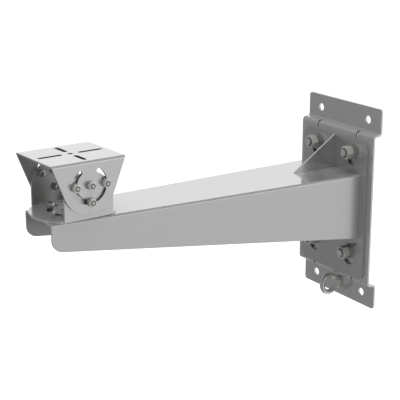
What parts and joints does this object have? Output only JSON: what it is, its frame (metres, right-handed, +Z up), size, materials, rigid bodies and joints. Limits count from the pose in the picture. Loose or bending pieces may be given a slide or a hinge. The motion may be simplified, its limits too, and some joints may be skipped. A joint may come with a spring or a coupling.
{
  "type": "camera wall bracket",
  "caption": "Wall bracket for a camera housing: joggled wall plate, tapered channel arm, yoke that pans on curved slots and a slotted cradle that tilts.",
  "frame": {"origin": "centre of the four wall holes, on the wall's face", "axes": "+Y into the wall, +Z up, +X along the wall, the arm reaches out along -Y"},
  "size_m": [0.17, 0.5244, 0.312],
  "materials": {
    "sheet": "satin, smooth rolled sheet",
    "fasteners": "plain stainless fasteners"
  },
  "bodies": {
    "arm": {"wall_plate": "sheet", "arm_flange": "sheet", "arm_channel": "sheet", "arm_gusset": "sheet", "flange_bolts": "fasteners", "flange_washers": "fasteners", "flange_spring_washers": "fasteners", "flange_nuts": "fasteners", "eye_bolt": "fasteners", "pan_bolts": "fasteners", "pan_washers": "fasteners", "pan_spring_washers": "fasteners", "pan_nuts": "fasteners", "pan_pivot_bolt": "fasteners", "pan_pivot_washer": "fasteners", "pan_pivot_spring_washer": "fasteners", "pan_pivot_nut": "fasteners"},
    "yoke": {"yoke": "sheet", "tilt_pivot_bolts": "fasteners", "tilt_pivot_washers": "fasteners", "tilt_pivot_spring_washers": "fasteners", "tilt_pivot_nuts": "fasteners", "tilt_clamp_bolts": "fasteners", "tilt_clamp_washers": "fasteners", "tilt_clamp_spring_washers": "fasteners", "tilt_clamp_nuts": "fasteners"},
    "cradle": {"cradle": "sheet"}
  },
  "joints": [
    {"name": "head_pan", "type": "hinge", "parent": "arm", "child": "yoke", "pos_m": [0, -0.4664, 0.055], "axis": [0, 0, 1], "range_deg": [-29.12, 22.88]},
    {"name": "head_tilt", "type": "hinge", "parent": "yoke", "child": "cradle", "pos_m": [0, -0.4664, 0.1025], "axis": [0.9985, 0.0544, 0], "range_deg": [-50, 50]}
  ]
}
